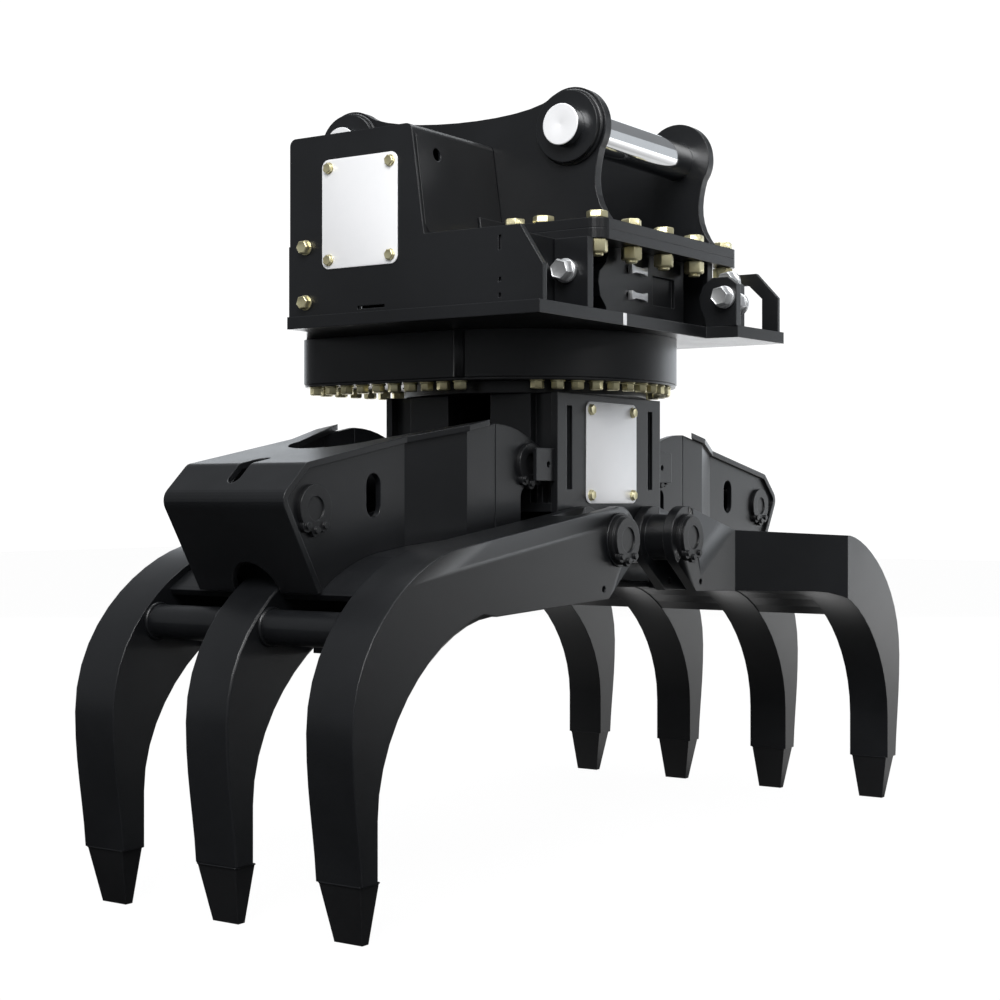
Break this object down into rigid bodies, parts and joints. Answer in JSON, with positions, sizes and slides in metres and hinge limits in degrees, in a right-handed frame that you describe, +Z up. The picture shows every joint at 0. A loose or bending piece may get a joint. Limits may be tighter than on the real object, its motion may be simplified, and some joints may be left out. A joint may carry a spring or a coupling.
{
  "type": "rotating root grapple",
  "caption": "Slewing root grapple with interleaving curved tines, hooded cylinders and a two-pin coupler bracket, standing open on its tips.",
  "frame": {"origin": "bottom centre of the overall box: on the floor under the slew axis, level with the tine tips", "axes": "+X towards the four tine claw, +Y along the claw hinge pins away from the pictured side, +Z up along the slew axis"},
  "size_m": [2.19, 1.008, 1.726],
  "materials": {
    "black_paint": "satin black powder coat with a faint blue sheen",
    "dark_steel": "black paint over machined steel, slightly duller",
    "hard_chrome": "polished hard chrome",
    "gear_steel": "greased machined steel",
    "yellow_zinc": "pale gold zinc plate",
    "stainless": "bright stainless sheet, bare",
    "bright_zinc": "clear zinc plate"
  },
  "bodies": {
    "head": {"slew_inner_race": "gear_steel", "ring_housing": "black_paint", "bottom_cover": "black_paint", "housing_bolts": "yellow_zinc", "base_plate": "black_paint", "swivel_core": "dark_steel", "slew_motor": "dark_steel", "head_webs": "black_paint", "head_wings": "black_paint", "port_caps": "bright_zinc", "top_flange": "black_paint", "bracket_plate": "black_paint", "bracket_ears": "black_paint", "plate_bolts": "yellow_zinc", "coupler_pins": "hard_chrome", "cover_box": "black_paint", "cover_nameplate": "stainless", "cover_screws": "yellow_zinc"},
    "rotor": {"frame_faces": "black_paint", "frame_columns": "black_paint", "hinge_tubes": "black_paint", "anchor_lugs": "black_paint", "anchor_pins": "dark_steel", "pin_keepers": "black_paint", "rotor_flange": "black_paint", "swivel_sleeve": "dark_steel", "frame_nameplate": "stainless", "frame_screws": "yellow_zinc", "ring_gear": "gear_steel"},
    "pinion": {"pinion": "gear_steel"},
    "left_claw": {"left_tine_near": "black_paint", "left_tine_middle": "black_paint", "left_tine_far": "black_paint", "left_tips": "dark_steel", "left_cheeks": "black_paint", "left_back_plate": "black_paint", "left_palm_plate": "black_paint", "left_cross_tube": "black_paint", "left_hood_cover": "black_paint", "left_hood_sides": "black_paint", "left_rod_pin": "dark_steel", "left_hinge_pin": "dark_steel"},
    "right_claw": {"right_tine_near": "black_paint", "right_tine_near_middle": "black_paint", "right_tine_far_middle": "black_paint", "right_tine_far": "black_paint", "right_tips": "dark_steel", "right_back_plate": "black_paint", "right_palm_plate": "black_paint", "right_cross_tube": "black_paint", "right_hood_cover": "black_paint", "right_hood_sides": "black_paint", "right_rod_pin": "dark_steel", "right_hinge_pin": "dark_steel"},
    "left_rod": {"left_piston_rod": "hard_chrome"},
    "right_rod": {"right_piston_rod": "hard_chrome"},
    "left_barrel": {"left_barrel": "black_paint", "left_gland": "dark_steel"},
    "right_barrel": {"right_barrel": "black_paint", "right_gland": "dark_steel"}
  },
  "joints": [
    {"name": "slew", "type": "hinge", "parent": "head", "child": "rotor", "pos_m": [0, 0, 1.1], "axis": [0, 0, 1], "continuous": true},
    {"name": "pinion_spin", "type": "hinge", "parent": "head", "child": "pinion", "pos_m": [-0.29016, 0.19572, 1.1], "axis": [0, 0, 1], "continuous": true},
    {"name": "left_claw_hinge", "type": "hinge", "parent": "rotor", "child": "left_claw", "pos_m": [-0.158, 0, 0.718], "axis": [0, -1, 0], "range_deg": [0, 60]},
    {"name": "left_rod_hinge", "type": "hinge", "parent": "left_claw", "child": "left_rod", "pos_m": [-0.956, 0, 0.79], "axis": [0, -1, 0], "range_deg": [0, 1.5]},
    {"name": "left_barrel_slide", "type": "slide", "parent": "left_rod", "child": "left_barrel", "axis": [0.9902, 0, 0.1398], "range_m": [0, 0.212]},
    {"name": "right_claw_hinge", "type": "hinge", "parent": "rotor", "child": "right_claw", "pos_m": [0.158, 0, 0.718], "axis": [0, 1, 0], "range_deg": [0, 60]},
    {"name": "right_rod_hinge", "type": "hinge", "parent": "right_claw", "child": "right_rod", "pos_m": [0.956, 0, 0.79], "axis": [0, 1, 0], "range_deg": [0, 1.5]},
    {"name": "right_barrel_slide", "type": "slide", "parent": "right_rod", "child": "right_barrel", "axis": [-0.9902, 0, 0.1398], "range_m": [0, 0.212]}
  ],
  "couplings": [
    {"joint": "pinion_spin", "follows": "slew", "ratio": -7.3333},
    {"joint": "left_rod_hinge", "follows": "left_claw_hinge", "ratio": 0.0238},
    {"joint": "left_barrel_slide", "follows": "left_claw_hinge", "m_per_rad": 0.20179},
    {"joint": "right_rod_hinge", "follows": "right_claw_hinge", "ratio": 0.0238},
    {"joint": "right_barrel_slide", "follows": "right_claw_hinge", "m_per_rad": 0.20179}
  ]
}
